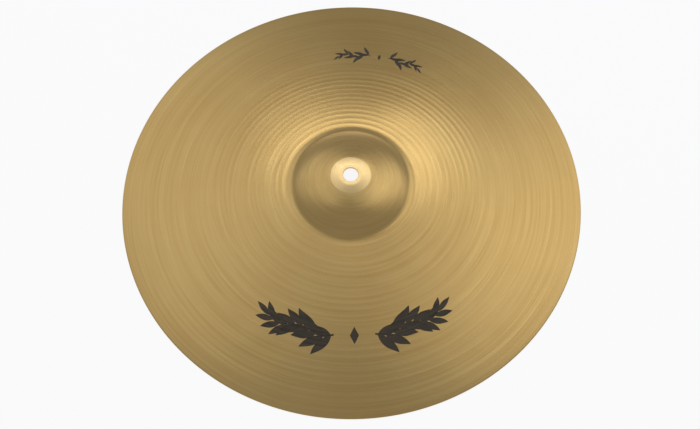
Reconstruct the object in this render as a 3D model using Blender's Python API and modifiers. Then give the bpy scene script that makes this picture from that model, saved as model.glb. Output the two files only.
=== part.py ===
"""Suspended cymbal: one plate of cast bronze, hammered, turned on a lathe and bored.

Units are metres, +Z is up. The origin is the centre of the circle on which the rim stands.
The plate is a single piece of metal: a flat land round the hole, a domed bell, a concave
foot where the bell meets the bow, the bow itself, and a rim that is cut square and eased.
"""

from math import atan2, cos, dist, pi, sin, sqrt

import bpy

OBJECT_NAME = "suspended_cymbal"
PLATE_NAME = "cymbal_plate"

# Driving sizes
DIAMETER = 0.4064
BOW_RISE = 0.0245
BOW_RADIUS = 1.5
BELL_DIAMETER = 0.106
BELL_RISE = 0.0158
HOLE_DIAMETER = 0.013
SEAT_DIAMETER = 0.020
FOOT_RADIUS = 0.015
BELL_WALL = 0.0013
FOOT_WALL = 0.00115
RIM_WALL = 0.0008
RIM_HEIGHT = 0.0006
RIM_EASE = 0.00015

# How finely the curves are cut
STEPS_ROUND = 72
BELL_SEGMENTS = 7
FOOT_SEGMENTS = 3
BOW_SEGMENTS = 10
EASE_SEGMENTS = 2
MERGE_DISTANCE = 0.00001
SHARP_EDGE_ANGLE = pi / 6

# Colour of the metal, as linear values
BRONZE_COLOUR = (0.48, 0.33, 0.13, 1.0)
BRONZE_ROUGHNESS = 0.32


def clear_scene():
    for thing in list(bpy.data.objects):
        bpy.data.objects.remove(thing, do_unlink=True)


def circle_on_axis(inner, outer):
    """Centre and radius of the circle through two points (r, z), with its centre on the axis."""
    (r1, z1), (r2, z2) = inner, outer
    height = (r1**2 - r2**2 + z1**2 - z2**2) / (2 * (z1 - z2))
    centre = (0.0, height)
    return centre, dist(centre, inner)


def circle_of_radius(inner, outer, radius):
    """Centre of the circle of a given radius through two points, on the chord's lower side."""
    (r1, z1), (r2, z2) = inner, outer
    chord = dist(inner, outer)
    depth = sqrt(radius**2 - chord**2 / 4)
    return (r1 + r2) / 2 + depth * (z2 - z1) / chord, (z1 + z2) / 2 - depth * (r2 - r1) / chord


def circle_between(bell, bell_radius, bow, bow_radius, radius):
    """Centre of the hollow circle that touches the bell's circle and the bow's from outside."""
    to_bell = bell_radius + radius
    to_bow = bow_radius + radius
    apart = dist(bell, bow)
    along = (to_bell**2 - to_bow**2 + apart**2) / (2 * apart)
    aside = sqrt(to_bell**2 - along**2)
    unit_r = (bow[0] - bell[0]) / apart
    unit_z = (bow[1] - bell[1]) / apart
    return bell[0] + along * unit_r - aside * unit_z, bell[1] + along * unit_z + aside * unit_r


def direction(centre, point):
    """Angle of a point as seen from a circle's centre."""
    return atan2(point[1] - centre[1], point[0] - centre[0])


def arc(centre, radius, start, end, segments):
    """Points of an arc from one angle to another, each with its outward direction."""
    points = []
    for index in range(segments + 1):
        angle = start + (end - start) * index / segments
        across, along = cos(angle), sin(angle)
        points.append((centre[0] + radius * across, centre[1] + radius * along, across, along))
    return points


def wall_at(radius):
    """Thickness of the metal, which the lathe tapers from the foot out to the rim."""
    foot = BELL_DIAMETER / 2
    rim = DIAMETER / 2
    if radius <= foot:
        share = radius / foot
        return BELL_WALL + (FOOT_WALL - BELL_WALL) * share
    share = min((radius - foot) / (rim - foot), 1.0)
    return FOOT_WALL + (RIM_WALL - FOOT_WALL) * share


def bow_circle():
    """Centre of the bow's circle, which runs from the bell's foot to the top of the rim."""
    foot = (BELL_DIAMETER / 2, BOW_RISE)
    rim = (DIAMETER / 2, RIM_HEIGHT)
    return circle_of_radius(foot, rim, BOW_RADIUS)


def upper_surface():
    """Bell, foot and bow from the seat's edge to the rim, as (r, z, normal r, normal z)."""
    seat = (SEAT_DIAMETER / 2, BOW_RISE + BELL_RISE)
    bell, bell_radius = circle_on_axis(seat, (BELL_DIAMETER / 2, BOW_RISE))
    bow = bow_circle()
    foot = circle_between(bell, bell_radius, bow, BOW_RADIUS, FOOT_RADIUS)
    bell_end = direction(bell, foot)
    bow_start = direction(bow, foot)
    bow_end = direction(bow, (DIAMETER / 2, RIM_HEIGHT))

    points = arc(bell, bell_radius, direction(bell, seat), bell_end, BELL_SEGMENTS)
    hollow = arc(foot, FOOT_RADIUS, bell_end + pi, bow_start + pi, FOOT_SEGMENTS)
    points += [(r, z, -nr, -nz) for r, z, nr, nz in hollow[1:-1]]
    points += arc(bow, BOW_RADIUS, bow_start, bow_end, BOW_SEGMENTS)
    return points


def rim_edge():
    """The outer wall of the rim, eased at its upper and lower corners."""
    rim = DIAMETER / 2
    upper = arc((rim - RIM_EASE, RIM_HEIGHT - RIM_EASE), RIM_EASE, pi / 2, 0.0, EASE_SEGMENTS)
    lower = arc((rim - RIM_EASE, RIM_EASE), RIM_EASE, 0.0, -pi / 2, EASE_SEGMENTS)
    return [(r, z) for r, z, _, _ in upper + lower]


def plate_profile():
    """The closed outline of the wall: over the top, round the rim, back under and up the hole.

    The surface's first and last points give way to the seat's land and to the rim's edge.
    """
    hole_r = HOLE_DIAMETER / 2
    seat_r = SEAT_DIAMETER / 2
    top = BOW_RISE + BELL_RISE
    surface = upper_surface()
    bow_r, bow_z = bow_circle()
    land_r = bow_r + sqrt((BOW_RADIUS - RIM_WALL) ** 2 - bow_z**2)

    over = [(hole_r, top), (seat_r, top)]
    over += [(r, z) for r, z, _, _ in surface[1:-1]]
    under = []
    for r, z, normal_r, normal_z in surface[1:-1]:
        wall = wall_at(r)
        under.append((r - wall * normal_r, z - wall * normal_z))
    under.reverse()
    under = [(land_r, 0.0)] + under
    under += [(seat_r, top - BELL_WALL), (hole_r, top - BELL_WALL)]
    return over + rim_edge() + under


def bronze_material():
    material = bpy.data.materials.new("cast_bronze")
    material.use_nodes = True
    shader = material.node_tree.nodes["Principled BSDF"]
    shader.inputs["Base Color"].default_value = BRONZE_COLOUR
    shader.inputs["Metallic"].default_value = 1.0
    shader.inputs["Roughness"].default_value = BRONZE_ROUGHNESS
    return material


def turn(name, outline, collection):
    """A closed outline in the XZ plane, turned once round Z."""
    mesh = bpy.data.meshes.new(name)
    corners = [(r, 0.0, z) for r, z in outline]
    edges = [(index, (index + 1) % len(corners)) for index in range(len(corners))]
    mesh.from_pydata(corners, edges, [])
    thing = bpy.data.objects.new(name, mesh)
    collection.objects.link(thing)
    screw = thing.modifiers.new("turning", "SCREW")
    screw.axis = "Z"
    screw.angle = 2 * pi
    screw.steps = STEPS_ROUND
    screw.render_steps = STEPS_ROUND
    screw.use_merge_vertices = True
    screw.merge_threshold = MERGE_DISTANCE
    return thing


def apply_turning(thing):
    """Replace the modifier by its mesh, so that smooth and sharp edges can be set on it."""
    graph = bpy.context.evaluated_depsgraph_get()
    turned = bpy.data.meshes.new_from_object(thing.evaluated_get(graph), depsgraph=graph)
    turned.name = thing.name
    thing.modifiers.clear()
    thing.data = turned
    turned.shade_smooth()
    turned.set_sharp_from_angle(angle=SHARP_EDGE_ANGLE)


def main():
    clear_scene()
    collection = bpy.data.collections.new(OBJECT_NAME)
    bpy.context.scene.collection.children.link(collection)
    plate = turn(PLATE_NAME, plate_profile(), collection)
    apply_turning(plate)
    plate.data.materials.append(bronze_material())


main()
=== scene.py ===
"""Looks of the suspended cymbal: the turned bronze plate, its printed garlands and the studio."""

from math import atan2, cos, pi, radians, sin, sqrt

import bpy
import numpy as np
from mathutils import Matrix, Vector


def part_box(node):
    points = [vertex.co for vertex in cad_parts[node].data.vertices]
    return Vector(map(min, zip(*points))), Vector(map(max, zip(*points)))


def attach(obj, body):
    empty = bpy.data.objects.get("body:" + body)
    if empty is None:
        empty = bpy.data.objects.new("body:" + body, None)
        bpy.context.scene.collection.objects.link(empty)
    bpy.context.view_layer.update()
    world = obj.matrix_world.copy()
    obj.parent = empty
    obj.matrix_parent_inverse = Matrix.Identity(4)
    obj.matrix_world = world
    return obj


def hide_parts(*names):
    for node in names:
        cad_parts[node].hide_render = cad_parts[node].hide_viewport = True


bl_info = {
    "name": "Suspended cymbal",
    "version": (1, 0, 0),
    "blender": (4, 5, 0),
    "location": "View3D > Sidebar > Cymbal",
    "description": "Builds a turned bronze cymbal, its printed garlands and a studio around it",
    "category": "Object",
}

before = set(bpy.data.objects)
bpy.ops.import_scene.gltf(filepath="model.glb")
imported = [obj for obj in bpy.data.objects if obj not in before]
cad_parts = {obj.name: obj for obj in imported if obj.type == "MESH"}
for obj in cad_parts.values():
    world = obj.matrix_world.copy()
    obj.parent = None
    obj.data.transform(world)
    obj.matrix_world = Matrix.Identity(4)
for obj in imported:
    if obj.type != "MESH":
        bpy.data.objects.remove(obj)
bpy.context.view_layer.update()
PLATE_NODE = "cymbal_plate"
PLATE_BODY = "root"
LOWEST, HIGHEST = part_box(PLATE_NODE)
MM = 0.001


def linear(code):
    """An sRGB hex colour as linear red, green and blue."""
    channels = [int(code[index : index + 2], 16) / 255 for index in (1, 3, 5)]
    return tuple(c / 12.92 if c <= 0.04045 else ((c + 0.055) / 1.055) ** 2.4 for c in channels)


class PlateSizes(bpy.types.PropertyGroup):
    diameter: bpy.props.FloatProperty(
        name="Diameter", description="Width of the plate across its rim",
        default=HIGHEST.x - LOWEST.x, unit="LENGTH",
    )
    height: bpy.props.FloatProperty(
        name="Height", description="From the shelf under the rim to the seat round the hole",
        default=HIGHEST.z - LOWEST.z, unit="LENGTH",
    )
    bell_rise: bpy.props.FloatProperty(
        name="Bell rise", description="From the bell's foot to the seat round the hole",
        default=15.8 * MM, unit="LENGTH",
    )
    bell_diameter: bpy.props.FloatProperty(
        name="Bell diameter", description="Width of the bell at its foot",
        default=106 * MM, unit="LENGTH",
    )
    bow_radius: bpy.props.FloatProperty(
        name="Bow radius", description="Radius of the bow's arc from the foot to the rim",
        default=1500 * MM, unit="LENGTH",
    )
    foot_radius: bpy.props.FloatProperty(
        name="Foot radius", description="Radius of the hollow where the bell meets the bow",
        default=15 * MM, unit="LENGTH",
    )
    hole_diameter: bpy.props.FloatProperty(
        name="Hole diameter", description="Width of the centre hole",
        default=13 * MM, unit="LENGTH",
    )
    seat_diameter: bpy.props.FloatProperty(
        name="Seat diameter", description="Width of the flat land round the hole",
        default=20 * MM, unit="LENGTH",
    )
    buffed_diameter: bpy.props.FloatProperty(
        name="Buffed diameter", description="Width of the smooth disc at the top of the bell",
        default=33.4 * MM, unit="LENGTH",
    )
    bell_wall: bpy.props.FloatProperty(
        name="Bell wall", description="Thickness of the metal at the hole",
        default=1.3 * MM, unit="LENGTH",
    )
    foot_wall: bpy.props.FloatProperty(
        name="Foot wall", description="Thickness of the metal at the bell's foot",
        default=1.15 * MM, unit="LENGTH",
    )
    rim_wall: bpy.props.FloatProperty(
        name="Rim wall", description="Thickness of the metal at the rim",
        default=0.8 * MM, unit="LENGTH",
    )
    rim_height: bpy.props.FloatProperty(
        name="Rim height", description="Height of the rim's outer wall",
        default=0.6 * MM, unit="LENGTH",
    )
    band_pitch: bpy.props.FloatProperty(
        name="Band pitch", description="Distance from one turned band to the next",
        default=5.0 * MM, unit="LENGTH",
    )
    band_depth: bpy.props.FloatProperty(
        name="Band depth", description="Height of a turned band's crest over its hollow",
        default=0.075 * MM, unit="LENGTH",
    )
    hammer_depth: bpy.props.FloatProperty(
        name="Hammer depth", description="Depth of one hammer mark",
        default=0.06 * MM, unit="LENGTH",
    )


class FinishColours(bpy.types.PropertyGroup):
    bronze: bpy.props.FloatVectorProperty(
        name="Bronze", description="Colour of the turned bell bronze",
        subtype="COLOR", size=3, default=linear("#D8B878"),
    )
    # Darker bronze: painted shade of the turned rings, plus random darker tone and grain; thin ink
    # also shows it
    dark_tone_and_ring_shade: bpy.props.FloatVectorProperty(
        name="Tarnish", description="Colour of the bronze where it has dulled between the bands",
        subtype="COLOR", size=3, default=linear("#C7A364"),
    )
    buffed: bpy.props.FloatVectorProperty(
        name="Buffed bronze", description="Colour of the smooth disc round the hole",
        subtype="COLOR", size=3, default=linear("#DDC08A"),
    )
    ink: bpy.props.FloatVectorProperty(
        name="Ink", description="Colour of the screen-printed garlands",
        subtype="COLOR", size=3, default=linear("#241E14"),
    )
    floor: bpy.props.FloatVectorProperty(
        name="Floor", description="Colour of the studio's floor",
        subtype="COLOR", size=3, default=linear("#F4F4F2"),
    )


# The wall's outline: circles that touch each other, in metres from the axis and from the shelf


def distance(one, two):
    return sqrt((one[0] - two[0]) ** 2 + (one[1] - two[1]) ** 2)


def circle_on_axis(inner, outer):
    """Centre and radius of the circle through two points, with its centre on the axis."""
    (r1, z1), (r2, z2) = inner, outer
    centre = (0.0, (r1**2 - r2**2 + z1**2 - z2**2) / (2 * (z1 - z2)))
    return centre, distance(centre, inner)


def circle_of_radius(inner, outer, radius):
    """Centre of the circle of a given radius through two points, on the chord's lower side."""
    (r1, z1), (r2, z2) = inner, outer
    chord = distance(inner, outer)
    depth = sqrt(radius**2 - chord**2 / 4)
    return (r1 + r2) / 2 + depth * (z2 - z1) / chord, (z1 + z2) / 2 - depth * (r2 - r1) / chord


def circle_between(bell, bell_radius, bow, bow_radius, radius):
    """Centre of the hollow circle that touches the bell's circle and the bow's from outside."""
    to_bell = bell_radius + radius
    to_bow = bow_radius + radius
    apart = distance(bell, bow)
    along = (to_bell**2 - to_bow**2 + apart**2) / (2 * apart)
    aside = sqrt(to_bell**2 - along**2)
    unit_r = (bow[0] - bell[0]) / apart
    unit_z = (bow[1] - bell[1]) / apart
    return bell[0] + along * unit_r - aside * unit_z, bell[1] + along * unit_z + aside * unit_r


class PlateShape:
    """Heights and slopes of the plate's upper and under surfaces at any distance from the axis."""

    HAMMER_MARKS = 240
    HAMMER_SEED = 7
    HAMMER_WIDTH = (8 * MM, 15 * MM)
    STRONG_BANDS_END = 118 * MM
    WEAK_BANDS_START = 140 * MM
    BELL_BAND_SHARE = 0.16

    def __init__(self, sizes):
        self.sizes = sizes
        self.hole = sizes.hole_diameter / 2
        self.seat = sizes.seat_diameter / 2
        self.buffed = sizes.buffed_diameter / 2
        self.foot = sizes.bell_diameter / 2
        self.rim = sizes.diameter / 2
        bow_rise = sizes.height - sizes.bell_rise
        seat_edge = (self.seat, sizes.height)
        foot_edge = (self.foot, bow_rise)
        self.bell, self.bell_radius = circle_on_axis(seat_edge, foot_edge)
        self.bow = circle_of_radius(foot_edge, (self.rim, sizes.rim_height), sizes.bow_radius)
        self.hollow = circle_between(
            self.bell, self.bell_radius, self.bow, sizes.bow_radius, sizes.foot_radius
        )
        self.bell_end = self.touch(self.bell, self.bell_radius)
        self.bow_start = self.touch(self.bow, sizes.bow_radius)
        self.marks = self.hammer_marks()

    def touch(self, centre, radius):
        """Distance from the axis at which the hollow touches a circle."""
        angle = atan2(self.hollow[1] - centre[1], self.hollow[0] - centre[0])
        return centre[0] + radius * cos(angle)

    def upper(self, r):
        """Height of the plain upper surface."""
        bell = self.bell[1] + np.sqrt(np.maximum(self.bell_radius**2 - r**2, 0))
        across = np.clip(r - self.hollow[0], -self.sizes.foot_radius, self.sizes.foot_radius)
        hollow = self.hollow[1] - np.sqrt(self.sizes.foot_radius**2 - across**2)
        bow = self.bow[1] + np.sqrt(self.sizes.bow_radius**2 - (r - self.bow[0]) ** 2)
        height = np.where(r < self.bell_end, bell, np.where(r < self.bow_start, hollow, bow))
        return np.minimum(height, self.sizes.height)

    def slope(self, r):
        """Fall of the upper surface for each metre outwards."""
        step = 0.05 * MM
        return (self.upper(r - step) - self.upper(r + step)) / (2 * step)

    def wall(self, r):
        """Height of metal under the upper surface, measured straight down."""
        sizes = self.sizes
        inner = sizes.bell_wall + (sizes.foot_wall - sizes.bell_wall) * r / self.foot
        share = (r - self.foot) / (self.rim - self.foot)
        outer = sizes.foot_wall + (sizes.rim_wall - sizes.foot_wall) * share
        return np.where(r < self.foot, inner, outer) * np.sqrt(1 + self.slope(r) ** 2)

    def under(self, r):
        return np.maximum(self.upper(r) - self.wall(r), 0)

    def hammer_marks(self):
        """Centre, width and depth of each hammer mark, spread evenly by area over the bow."""
        random = np.random.default_rng(self.HAMMER_SEED)
        count = self.HAMMER_MARKS
        r = np.sqrt(random.uniform((self.foot + 12 * MM) ** 2, (self.rim - 10 * MM) ** 2, count))
        angle = random.uniform(0, 2 * pi, count)
        width = random.uniform(*self.HAMMER_WIDTH, count)
        depth = random.uniform(0.25, 1.0, count) * self.sizes.hammer_depth
        return list(zip(r * np.cos(angle), r * np.sin(angle), width, depth))

    def band_strength(self, r):
        """How deep the turned bands are: strong round the bell, weaker outside, least on it."""
        on_bow = {
            self.bow_start - 4 * MM: 0.0,
            self.bow_start + 3 * MM: 1.0,
            self.STRONG_BANDS_END: 1.0,
            self.WEAK_BANDS_START: 0.62,
            self.rim - 9 * MM: 0.55,
            self.rim - 5 * MM: 0.0,
        }
        on_bell = {
            self.buffed: 0.0,
            self.buffed + 3 * MM: self.BELL_BAND_SHARE,
            self.bell_end - 6 * MM: self.BELL_BAND_SHARE,
            self.bell_end: 0.0,
        }
        return self.faded(r, on_bow) + self.faded(r, on_bell)

    def faded(self, r, steps):
        """A share that runs straight from each given radius to the next."""
        return np.interp(r, list(steps), list(steps.values()))

    def bands(self, r, angle):
        """Turned bands: hollows left by the tool with a narrow crest between them.

        The tool is fed by hand, so the bands' spacing and depth wander a little.
        """
        wander = 0.9 * np.sin(r / (17 * MM)) + 0.6 * np.sin(r / (7.3 * MM) + 1.0)
        wobble = 0.22 * np.sin(angle + r / (31 * MM)) + 0.12 * np.sin(3 * angle + r / (12 * MM))
        turn = 2 * pi * r / self.sizes.band_pitch + wander + wobble
        uneven = 0.75 + 0.25 * np.sin(r / (9.1 * MM) + 2.0)
        crest = 0.7 * np.cos(turn) + 0.22 * np.cos(2 * turn) + 0.08 * np.cos(3 * turn)
        return 0.5 * self.sizes.band_depth * self.band_strength(r) * uneven * crest

    def hammering(self, x, y):
        total = np.zeros_like(x)
        for mark_x, mark_y, width, depth in self.marks:
            away = ((x - mark_x) ** 2 + (y - mark_y) ** 2) / width**2
            total -= depth * np.exp(-away)
        return total

    def surface(self, r, angle):
        """Height of the finished upper surface, with its bands and hammer marks."""
        hammered = {
            self.foot: 0.0,
            self.foot + 14 * MM: 1.0,
            self.rim - 16 * MM: 1.0,
            self.rim - 3 * MM: 0.0,
        }
        pressed = self.faded(r, hammered) * self.hammering(r * np.cos(angle), r * np.sin(angle))
        return self.upper(r) + self.bands(r, angle) + pressed


def add_node(tree, kind, settings=None, links=None):
    """A node with its properties or unlinked inputs set, and inputs joined to other sockets."""
    node = tree.nodes.new(kind)
    for name, value in (settings or {}).items():
        if isinstance(name, str) and hasattr(node, name):
            setattr(node, name, value)
        else:
            node.inputs[name].default_value = value
    for name, socket in (links or {}).items():
        tree.links.new(socket, node.inputs[name])
    return node


def new_material(name):
    material = bpy.data.materials.new(name)
    material.use_nodes = True
    material.node_tree.nodes.clear()
    return material, material.node_tree


def polar_place(tree):
    """Distance from the axis in millimetres, and the azimuth as a place on a unit circle."""
    place = add_node(tree, "ShaderNodeTexCoord").outputs["Object"]
    parts = add_node(tree, "ShaderNodeSeparateXYZ", links={0: place})
    flat = add_node(
        tree, "ShaderNodeCombineXYZ", links={"X": parts.outputs["X"], "Y": parts.outputs["Y"]}
    )
    length = add_node(tree, "ShaderNodeVectorMath", {"operation": "LENGTH"}, {0: flat.outputs[0]})
    away = add_node(
        tree, "ShaderNodeMath", {"operation": "MULTIPLY", 1: 1 / MM}, {0: length.outputs["Value"]}
    ).outputs[0]
    heading = add_node(tree, "ShaderNodeVectorMath", {"operation": "NORMALIZE"}, {0: flat.outputs[0]})
    return away, heading.outputs[0], place


def ring_noise(tree, away, heading, pitch_mm, length_mm, detail):
    """Noise drawn out along circles: pitch_mm wide, and about length_mm long at mid plate."""
    middle_mm = 120.0
    stretch = add_node(
        tree, "ShaderNodeVectorMath",
        {"operation": "SCALE", "Scale": middle_mm / length_mm}, {0: heading},
    )
    across = add_node(tree, "ShaderNodeMath", {"operation": "MULTIPLY", 1: 1 / pitch_mm}, {0: away})
    parts = add_node(tree, "ShaderNodeSeparateXYZ", links={0: stretch.outputs[0]})
    where = add_node(
        tree, "ShaderNodeCombineXYZ",
        links={"X": parts.outputs["X"], "Y": parts.outputs["Y"], "Z": across.outputs[0]},
    )
    noise = add_node(
        tree, "ShaderNodeTexNoise",
        {"Scale": 1.0, "Detail": detail, "Roughness": 0.6}, {"Vector": where.outputs[0]},
    )
    return noise.outputs["Fac"]


def lathe_turned_bronze(colours):
    """Bell bronze, cast and turned on a lathe.

    The tool leaves fine grooves along circles. They draw each light out across the grooves
    into a spoke from the bell to the rim, so the anisotropy is high and its tangent runs
    round the axis. Faint darker rings in the colour are painted shade that stands in for the
    light and dark of the turned rings; grain and patches add random darker tone.
    """
    material, tree = new_material("lathe_turned_bronze")
    away, heading, place = polar_place(tree)
    # Real grooves are 0.2 to 0.5 mm apart. The noise has cells 0.45 mm wide, which draws
    # them about 0.9 mm apart, coarser than real, so that they show at all.
    fine = ring_noise(tree, away, heading, 0.45, 60.0, 2.0)
    coarse = ring_noise(tree, away, heading, 2.2, 160.0, 2.0)
    patches = add_node(
        tree, "ShaderNodeTexNoise", {"Scale": 9.0, "Detail": 3.0, "Roughness": 0.5}, {"Vector": place}
    ).outputs["Fac"]

    # Painted shade: faint darker rings from the coarse ring noise, standing in for the light and dark
    # of the turned rings
    shade = add_node(
        tree, "ShaderNodeMapRange",
        {"From Min": 0.3, "From Max": 0.7, "To Min": 0.0, "To Max": 0.6}, {0: coarse},
    ).outputs[0]
    grain = add_node(
        tree, "ShaderNodeMapRange",
        {"From Min": 0.3, "From Max": 0.7, "To Min": 0.0, "To Max": 0.35}, {0: fine},
    ).outputs[0]
    cloud = add_node(
        tree, "ShaderNodeMapRange",
        {"From Min": 0.35, "From Max": 0.65, "To Min": -0.1, "To Max": 0.25}, {0: patches},
    ).outputs[0]
    total = add_node(tree, "ShaderNodeMath", {"operation": "ADD"}, {0: shade, 1: grain}).outputs[0]
    total = add_node(
        tree, "ShaderNodeMath", {"operation": "ADD", "use_clamp": True}, {0: total, 1: cloud}
    ).outputs[0]
    colour = add_node(
        tree, "ShaderNodeMix",
        {"data_type": "RGBA", "clamp_factor": True, 6: (*colours.bronze, 1), 7: (*colours.dark_tone_and_ring_shade, 1)},
        {0: total},
    ).outputs[2]

    roughness = add_node(
        tree, "ShaderNodeMapRange",
        {"From Min": 0.3, "From Max": 0.7, "To Min": 0.27, "To Max": 0.35}, {0: fine},
    ).outputs[0]
    height = add_node(
        tree, "ShaderNodeMath", {"operation": "MULTIPLY_ADD", 1: 0.5}, {0: coarse, 2: fine}
    ).outputs[0]
    bump = add_node(
        tree, "ShaderNodeBump", {"Strength": 1.0, "Distance": 0.012 * MM}, {"Height": height}
    ).outputs[0]
    tangent = add_node(tree, "ShaderNodeTangent", {"direction_type": "RADIAL", "axis": "Z"}).outputs[0]
    shader = add_node(
        tree, "ShaderNodeBsdfPrincipled",
        {"Metallic": 1.0, "Anisotropic": 0.85, "Anisotropic Rotation": 0.0},
        {"Base Color": colour, "Roughness": roughness, "Normal": bump, "Tangent": tangent},
    )
    add_node(tree, "ShaderNodeOutputMaterial", links={"Surface": shader.outputs[0]})
    return material


def buffed_bronze(colours):
    """Bell bronze, sanded and buffed where the felts sit.

    It has no grooves, so it mirrors the studio softly and evenly and looks lighter and
    smoother than the turned metal, with only faint hairlines from the buffing wheel.
    """
    material, tree = new_material("buffed_bronze")
    away, heading, place = polar_place(tree)
    hairlines = ring_noise(tree, away, heading, 0.8, 25.0, 3.0)
    roughness = add_node(
        tree, "ShaderNodeMapRange",
        {"From Min": 0.3, "From Max": 0.7, "To Min": 0.3, "To Max": 0.38}, {0: hairlines},
    ).outputs[0]
    bump = add_node(
        tree, "ShaderNodeBump", {"Strength": 1.0, "Distance": 0.003 * MM}, {"Height": hairlines}
    ).outputs[0]
    worn = add_node(
        tree, "ShaderNodeMapRange",
        {"From Min": 0.3, "From Max": 0.75, "To Min": 0.0, "To Max": 0.5}, {0: hairlines},
    ).outputs[0]
    colour = add_node(
        tree, "ShaderNodeMix",
        {"data_type": "RGBA", "clamp_factor": True, 6: (*colours.buffed, 1), 7: (*colours.bronze, 1)},
        {0: worn},
    ).outputs[2]
    shader = add_node(
        tree, "ShaderNodeBsdfPrincipled", {"Metallic": 1.0},
        {"Base Color": colour, "Roughness": roughness, "Normal": bump},
    )
    add_node(tree, "ShaderNodeOutputMaterial", links={"Surface": shader.outputs[0]})
    return material


def screen_ink(colours):
    """Screen ink, printed black on the turned metal and dried matt.

    The film is thin, so the grooves under it still ripple its dull shine, and the screen
    leaves small thinner spots.
    """
    material, tree = new_material("screen_ink")
    away, heading, place = polar_place(tree)
    grooves = ring_noise(tree, away, heading, 0.6, 60.0, 2.0)
    thin = add_node(
        tree, "ShaderNodeMapRange",
        {"From Min": 0.35, "From Max": 0.75, "To Min": 0.0, "To Max": 0.12}, {0: grooves},
    ).outputs[0]
    colour = add_node(
        tree, "ShaderNodeMix",
        {"data_type": "RGBA", "clamp_factor": True, 6: (*colours.ink, 1), 7: (*colours.dark_tone_and_ring_shade, 1)},
        {0: thin},
    ).outputs[2]
    bump = add_node(
        tree, "ShaderNodeBump", {"Strength": 0.6, "Distance": 0.01 * MM}, {"Height": grooves}
    ).outputs[0]
    shader = add_node(
        tree, "ShaderNodeBsdfPrincipled", {"Roughness": 0.55, "IOR": 1.5},
        {"Base Color": colour, "Normal": bump},
    )
    add_node(tree, "ShaderNodeOutputMaterial", links={"Surface": shader.outputs[0]})
    return material


def grid_faces(rings, around):
    """Quads of a grid that closes on itself both ways, wound to face outwards."""
    ring = np.arange(rings)
    step = np.arange(around)
    a, b = np.meshgrid(ring, step, indexing="ij")
    following = (a + 1) % rings
    beside = (b + 1) % around
    faces = np.stack(
        [a * around + b, following * around + b, following * around + beside, a * around + beside], -1
    )
    return faces.reshape(-1, 4)


def mesh_object(name, vertices, faces, materials, slots=None):
    mesh = bpy.data.meshes.new(name)
    mesh.from_pydata(vertices.tolist(), [], faces.tolist())
    for material in materials:
        mesh.materials.append(material)
    if slots is not None:
        mesh.polygons.foreach_set("material_index", slots)
    mesh.shade_smooth()
    mesh.update()
    thing = bpy.data.objects.new(name, mesh)
    bpy.context.scene.collection.objects.link(thing)
    return thing


class CYMBAL_OT_turn_plate(bpy.types.Operator):
    """Turn the bronze plate: bell, bow, rim and hole, with its bands and hammer marks"""

    bl_idname = "cymbal.turn_plate"
    bl_label = "Turn plate"

    STEPS_ROUND = 256
    UPPER_STEP = 0.92 * MM
    UNDER_STEP = 1.9 * MM
    EDGE_EASE = 0.2 * MM
    HOLE_EASE = 0.35 * MM
    EASE_STEPS = 3

    def execute(self, context):
        shape = PlateShape(context.scene.cymbal_sizes)
        colours = context.scene.cymbal_colours
        angles = np.arange(self.STEPS_ROUND) * 2 * pi / self.STEPS_ROUND
        rings = self.profile(shape)
        vertices = []
        for r, z, finish in rings:
            heights = np.full(self.STEPS_ROUND, z)
            if finish:
                heights = z + shape.surface(np.full(self.STEPS_ROUND, r), angles) - shape.upper(r)
            vertices.append(np.stack([r * np.cos(angles), r * np.sin(angles), heights], 1))
        vertices = np.concatenate(vertices)
        vertices[:, 2] = np.clip(vertices[:, 2], LOWEST.z, HIGHEST.z)
        faces = grid_faces(len(rings), self.STEPS_ROUND)
        smooth = np.array([r < shape.buffed and z > shape.sizes.height / 2 for r, z, _ in rings])
        slots = np.repeat(smooth.astype(np.int32), self.STEPS_ROUND)
        materials = [lathe_turned_bronze(colours), buffed_bronze(colours)]
        plate = mesh_object("turned_plate", vertices, faces, materials, slots)
        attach(plate, PLATE_BODY)
        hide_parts(PLATE_NODE)
        return {"FINISHED"}

    def profile(self, shape):
        """Rings from the hole over the top, round the rim and back underneath: r, z, finished."""
        sizes = shape.sizes
        rings = []
        top = sizes.height
        for index in range(self.EASE_STEPS + 1):
            angle = pi - (pi / 2) * index / self.EASE_STEPS
            r = shape.hole + self.HOLE_EASE * (1 + cos(angle))
            rings.append((r, top - self.HOLE_EASE * (1 - sin(angle)), False))
        start = shape.hole + 2 * self.HOLE_EASE
        end = shape.rim - 2 * self.EDGE_EASE
        for r in np.linspace(start, end, int((end - start) / self.UPPER_STEP)):
            rings.append((r, float(shape.upper(r)), True))
        high = sizes.rim_height
        for index in range(self.EASE_STEPS + 1):
            angle = (pi / 2) * (1 - index / self.EASE_STEPS)
            r = shape.rim - self.EDGE_EASE * (1 - cos(angle))
            rings.append((r, high - self.EDGE_EASE * (1 - sin(angle)), False))
        for index in range(self.EASE_STEPS + 1):
            angle = -(pi / 2) * index / self.EASE_STEPS
            r = shape.rim - self.EDGE_EASE * (1 - cos(angle))
            rings.append((r, self.EDGE_EASE * (1 + sin(angle)), False))
        land = shape.bow[0] + sqrt((sizes.bow_radius - sizes.rim_wall) ** 2 - shape.bow[1] ** 2)
        start = shape.hole + 2 * self.HOLE_EASE
        for r in np.linspace(land, start, int((land - start) / self.UNDER_STEP)):
            rings.append((r, float(shape.under(r)), False))
        bottom = float(shape.under(shape.hole))
        for index in range(self.EASE_STEPS + 1):
            angle = -(pi / 2) - (pi / 2) * index / self.EASE_STEPS
            r = shape.hole + self.HOLE_EASE * (1 + cos(angle))
            rings.append((r, bottom + self.HOLE_EASE * (1 + sin(angle)), False))
        return rings


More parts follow.
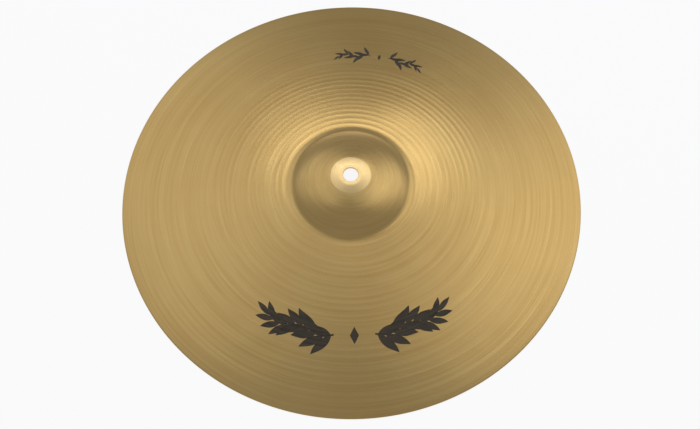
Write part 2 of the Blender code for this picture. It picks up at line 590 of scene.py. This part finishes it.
class CYMBAL_OT_print_garlands(bpy.types.Operator):
    """Print a leaf garland on the bow below the bell, and a small one above it"""

    bl_idname = "cymbal.print_garlands"
    bl_label = "Print garlands"

    FILM = 0.05 * MM
    SUNK = 0.05 * MM
    CELL = 0.9 * MM

    LEAF_SPREAD = radians(38)
    LEAF_SHRINK = 0.35
    FIRST_LEAF = 0.35
    BRANCH_GAP = 0.75
    STEM_SWAY = 2.2 * MM
    BLUNT_TIP = 0.06 * MM

    # Each garland: heading of its middle in degrees, radius, span in degrees and pairs of
    # leaves on a branch, then a leaf's length and width and the stem's width
    GARLANDS = {
        "printed_garland": (270.0, 136 * MM, 62.0, 9, 23 * MM, 7.4 * MM, 1.5 * MM),
        "printed_sprig": (78.0, 140 * MM, 30.0, 6, 11 * MM, 3.0 * MM, 0.7 * MM),
    }

    def execute(self, context):
        self.shape = PlateShape(context.scene.cymbal_sizes)
        ink = screen_ink(context.scene.cymbal_colours)
        for name, values in self.GARLANDS.items():
            self.garland(name, ink, *values)
        return {"FINISHED"}

    def garland(self, name, ink, middle, radius, span, pairs, leaf, width, stem):
        """Two mirrored branches of leaves along an arc, with a lozenge between them."""
        self.vertices = []
        self.faces = []
        self.count = 0
        half = radians(span) / 2
        gap = self.BRANCH_GAP * leaf / radius
        heading = radians(middle)
        for side in (-1, 1):
            start = heading + side * gap
            end = heading + side * half

            def middle_line(t):
                return self.stem_point(radius, start, end, t)

            self.ribbon(middle_line, lambda t: stem / 2, half * radius)
            for index in range(pairs):
                share = (index + self.FIRST_LEAF) / pairs
                foot = self.stem_point(radius, start, end, share)
                ahead = self.stem_point(radius, start, end, share + 0.02)
                along = atan2(ahead[1] - foot[1], ahead[0] - foot[0])
                size = 1.0 - self.LEAF_SHRINK * share
                for lean in (-1, 1):
                    towards = along + lean * self.LEAF_SPREAD
                    self.leaf(foot, towards, leaf * size, width * size, lean)
            tip = self.stem_point(radius, start, end, 1.0)
            before = self.stem_point(radius, start, end, 0.98)
            self.leaf(tip, atan2(tip[1] - before[1], tip[0] - before[0]), leaf * 0.7, width * 0.6, 0)
        self.lozenge(heading, radius, leaf * 0.62, width)
        film = mesh_object(name, np.concatenate(self.vertices), np.concatenate(self.faces), [ink])
        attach(film, PLATE_BODY)

    def stem_point(self, radius, start, end, share):
        angle = start + (end - start) * share
        sway = self.STEM_SWAY * sin(3 * pi * share)
        return (radius + sway) * cos(angle), (radius + sway) * sin(angle)

    def leaf(self, foot, heading, length, width, lean):
        """A pointed leaf that curves a little towards the branch's tip."""

        def middle(t):
            bend = -lean * 0.12 * length * sin(pi * t * 0.5) ** 2
            x = t * length
            return (
                foot[0] + x * cos(heading) - bend * sin(heading),
                foot[1] + x * sin(heading) + bend * cos(heading),
            )

        def half_width(t):
            return 0.5 * width * sin(pi * t) ** 0.85 * (1.15 - 0.3 * t) + self.BLUNT_TIP

        self.ribbon(middle, half_width, length)

    def lozenge(self, heading, radius, length, width):
        def middle(t):
            r = radius + (t - 0.5) * length
            return r * cos(heading), r * sin(heading)

        def half_width(t):
            return 0.5 * width * (1 - abs(2 * t - 1)) + self.BLUNT_TIP

        self.ribbon(middle, half_width, length)

    def ribbon(self, middle, half_width, length):
        """A closed film of ink that follows the plate's surface along a middle line."""
        steps = max(4, int(length / self.CELL))
        widest = max(half_width(index / steps) for index in range(steps + 1))
        across = max(2, int(2 * widest / self.CELL) + 1)
        points = np.zeros((steps + 1, across + 1, 2))
        for index in range(steps + 1):
            t = min(max(index / steps, 1e-4), 1 - 1e-4)
            x, y = middle(t)
            ahead = middle(min(t + 1e-3, 1.0))
            behind = middle(max(t - 1e-3, 0.0))
            along = atan2(ahead[1] - behind[1], ahead[0] - behind[0])
            for column in range(across + 1):
                off = (2 * column / across - 1) * half_width(t)
                points[index, column] = (x - off * sin(along), y + off * cos(along))
        flat = points.reshape(-1, 2)
        r = np.hypot(flat[:, 0], flat[:, 1])
        z = self.shape.surface(r, np.arctan2(flat[:, 1], flat[:, 0]))
        top = np.column_stack([flat, z + self.FILM])
        bottom = np.column_stack([flat, z - self.SUNK])
        rows, columns = steps + 1, across + 1
        number = np.arange(rows * columns).reshape(rows, columns)
        corners = [number[:-1, :-1], number[1:, :-1], number[1:, 1:], number[:-1, 1:]]
        quads = np.stack(corners, -1).reshape(-1, 4)
        sides = [number[:-1, 0], number[-1, :-1], number[:0:-1, -1], number[0, :0:-1]]
        edge = np.concatenate(sides)
        following = np.roll(edge, -1)
        below = rows * columns
        walls = np.stack([edge, edge + below, following + below, following], -1)
        faces = np.concatenate([quads[:, ::-1], quads + below, walls])
        self.vertices += [top, bottom]
        self.faces.append(faces + self.count)
        self.count += 2 * below


class CYMBAL_OT_set_stage(bpy.types.Operator):
    """Lay the floor, hang the soft boxes and aim the camera as in the photograph"""

    bl_idname = "cymbal.set_stage"
    bl_label = "Set stage"

    # Camera: where it stands and how it is turned, matched to the rim's ellipse and the hole
    CAMERA_DISTANCE = 1.0
    CAMERA_ELEVATION = radians(64.42)
    CAMERA_ROLL = radians(-1.3)
    CAMERA_ASIDE = -1.4 * MM
    CAMERA_DOWN = 16.9 * MM
    CAMERA_LENS = 57.79
    SENSOR_WIDTH = 36.0
    FLOOR_SIZE = 40.0
    FLOOR_GAP = 0.5 * MM
    FLOOR_GLOW = 0.9
    WORLD_COLOUR = (0.9, 0.93, 1.0, 1)
    WORLD_STRENGTH = 0.4

    # Soft boxes: heading and tilt in degrees of the facet that mirrors each one to the
    # camera, then its distance, width and height in metres, and its power in watts
    SOFT_BOXES = {
        "right_box": (-12.0, 20.0, 1.5, 0.9, 1.3, 3.4),
        "left_box": (180.0, 16.0, 1.8, 1.4, 1.8, 4.2),
        "back_box": (75.0, 5.0, 1.8, 1.1, 0.5, 3.8),
    }

    def execute(self, context):
        self.back = Vector((0, -cos(self.CAMERA_ELEVATION), sin(self.CAMERA_ELEVATION)))
        self.lay_floor(context)
        self.light_world(context)
        for name, values in self.SOFT_BOXES.items():
            self.hang_soft_box(context, name, *values)
        self.aim_camera(context)
        context.scene.view_settings.view_transform = "Standard"
        return {"FINISHED"}

    def lay_floor(self, context):
        low = LOWEST.z - self.FLOOR_GAP
        bpy.ops.mesh.primitive_plane_add(size=self.FLOOR_SIZE, location=(0, 0, low))
        floor = context.active_object
        floor.name = "floor"
        material, tree = new_material("matt_paper")
        rays = add_node(tree, "ShaderNodeLightPath").outputs
        seen = add_node(
            tree, "ShaderNodeMath", {"operation": "ADD", "use_clamp": True},
            {0: rays["Is Camera Ray"], 1: rays["Is Glossy Ray"]},
        ).outputs[0]
        seen = add_node(
            tree, "ShaderNodeMath", {"operation": "ADD", "use_clamp": True},
            {0: seen, 1: rays["Is Transmission Ray"]},
        ).outputs[0]
        share = add_node(
            tree, "ShaderNodeMath", {"operation": "MULTIPLY", 1: self.FLOOR_GLOW}, {0: seen}
        ).outputs[0]
        paper = add_node(
            tree, "ShaderNodeBsdfDiffuse", {"Color": (*context.scene.cymbal_colours.floor, 1)}
        )
        white = add_node(tree, "ShaderNodeEmission", {"Color": (1, 1, 1, 1), "Strength": 1.0})
        mixed = add_node(
            tree, "ShaderNodeMixShader", links={0: share, 1: paper.outputs[0], 2: white.outputs[0]}
        )
        add_node(tree, "ShaderNodeOutputMaterial", links={"Surface": mixed.outputs[0]})
        floor.data.materials.append(material)

    def light_world(self, context):
        world = bpy.data.worlds.new("studio")
        context.scene.world = world
        world.use_nodes = True
        tree = world.node_tree
        tree.nodes.clear()
        rays = add_node(tree, "ShaderNodeLightPath").outputs
        dim = add_node(
            tree, "ShaderNodeBackground",
            {"Color": self.WORLD_COLOUR, "Strength": self.WORLD_STRENGTH},
        )
        white = add_node(tree, "ShaderNodeBackground", {"Color": (1, 1, 1, 1), "Strength": 1.0})
        mixed = add_node(
            tree, "ShaderNodeMixShader",
            links={0: rays["Is Camera Ray"], 1: dim.outputs[0], 2: white.outputs[0]},
        )
        add_node(tree, "ShaderNodeOutputWorld", links={"Surface": mixed.outputs[0]})

    def mirrored(self, heading, tilt):
        """Where the camera's ray goes from a facet tilted so far towards a heading."""
        facet = Vector((sin(tilt) * cos(heading), sin(tilt) * sin(heading), cos(tilt)))
        return 2 * facet.dot(self.back) * facet - self.back

    def hang_soft_box(self, context, name, heading, tilt, distance, width, height, power):
        towards = self.mirrored(radians(heading), radians(tilt))
        lamp = bpy.data.lights.new(name, "AREA")
        lamp.shape = "RECTANGLE"
        lamp.size = width
        lamp.size_y = height
        lamp.energy = power
        box = bpy.data.objects.new(name, lamp)
        aim = (-towards).to_track_quat("-Z", "Y").to_matrix().to_4x4()
        box.matrix_world = Matrix.Translation(towards * distance) @ aim
        context.scene.collection.objects.link(box)

    def aim_camera(self, context):
        level = Vector((1, 0, 0))
        raised = self.back.cross(level)
        spot = self.back * self.CAMERA_DISTANCE + level * self.CAMERA_ASIDE - raised * self.CAMERA_DOWN
        right = cos(self.CAMERA_ROLL) * level + sin(self.CAMERA_ROLL) * raised
        up = -sin(self.CAMERA_ROLL) * level + cos(self.CAMERA_ROLL) * raised
        turned = Matrix((right, up, self.back)).transposed().to_4x4()
        lens = bpy.data.cameras.new("camera")
        lens.sensor_fit = "HORIZONTAL"
        lens.sensor_width = self.SENSOR_WIDTH
        lens.lens = self.CAMERA_LENS
        camera = bpy.data.objects.new("camera", lens)
        camera.matrix_world = Matrix.Translation(spot) @ turned
        context.scene.collection.objects.link(camera)
        context.scene.camera = camera


class CYMBAL_PT_panel(bpy.types.Panel):
    """Sizes, colours and steps of the cymbal"""

    bl_idname = "CYMBAL_PT_panel"
    bl_label = "Suspended cymbal"
    bl_space_type = "VIEW_3D"
    bl_region_type = "UI"
    bl_category = "Cymbal"

    def draw(self, context):
        for group in (context.scene.cymbal_sizes, context.scene.cymbal_colours):
            column = self.layout.column()
            for name in group.__annotations__:
                column.prop(group, name)
        for step in STEPS:
            self.layout.operator(step.bl_idname)


STEPS = (CYMBAL_OT_turn_plate, CYMBAL_OT_print_garlands, CYMBAL_OT_set_stage)
CLASSES = (PlateSizes, FinishColours, *STEPS, CYMBAL_PT_panel)


def register():
    for item in CLASSES:
        bpy.utils.register_class(item)
    bpy.types.Scene.cymbal_sizes = bpy.props.PointerProperty(type=PlateSizes)
    bpy.types.Scene.cymbal_colours = bpy.props.PointerProperty(type=FinishColours)


def unregister():
    del bpy.types.Scene.cymbal_colours
    del bpy.types.Scene.cymbal_sizes
    for item in reversed(CLASSES):
        bpy.utils.unregister_class(item)


def main():
    register()
    bpy.ops.cymbal.turn_plate()
    bpy.ops.cymbal.print_garlands()
    bpy.ops.cymbal.set_stage()


if __name__ == "__main__":
    main()
